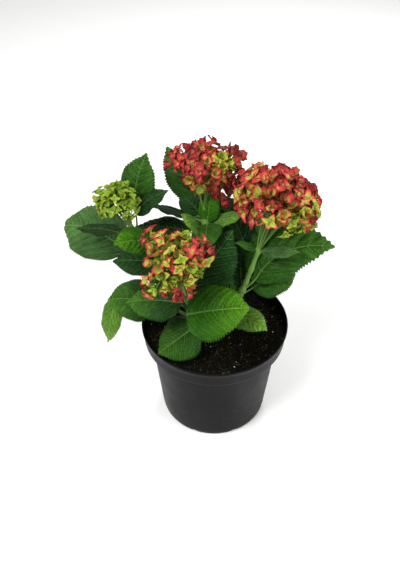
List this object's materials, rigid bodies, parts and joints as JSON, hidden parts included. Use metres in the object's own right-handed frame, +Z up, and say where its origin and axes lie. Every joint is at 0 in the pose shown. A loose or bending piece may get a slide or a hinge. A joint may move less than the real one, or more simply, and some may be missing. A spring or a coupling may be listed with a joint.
{
  "type": "potted hydrangea shrub",
  "caption": "Young mophead hydrangea shrub with red, bronze and lime flower heads, growing in a round black plastic nursery pot.",
  "frame": {"origin": "middle of the pot's flat underside, where it stands", "axes": "+Z up through the pot's axis; -Y is the side the low front cane leans to, -X the side of the lime head, +X the side of the large leaf"},
  "size_m": [0.331, 0.2445, 0.3813],
  "materials": {
    "pot_plastic": "dull moulded polypropylene",
    "compost": "moist peaty compost with grit",
    "old_wood": "rough greyish brown bark",
    "green_stem": "smooth green cane with pale pores",
    "leaves": "quilted, slightly glossy leaf",
    "bronze_sepals": "waxy sepals, lime with red tips",
    "lime_sepals": "waxy lime sepals",
    "red_sepals": "waxy red sepals, lime at the heart"
  },
  "bodies": {
    "root": {"pot": "pot_plastic", "soil": "compost", "woody_collar": "old_wood", "cane_front": "green_stem", "cane_left": "green_stem", "cane_top": "green_stem", "cane_right": "green_stem", "cane_back": "green_stem", "cane_low": "green_stem", "foliage_front": "leaves", "foliage_left": "leaves", "foliage_top": "leaves", "foliage_right": "leaves", "foliage_back": "leaves", "foliage_low": "leaves", "bloom_front": "bronze_sepals", "bloom_left": "lime_sepals", "bloom_top": "red_sepals", "bloom_right": "red_sepals"}
  },
  "joints": []
}
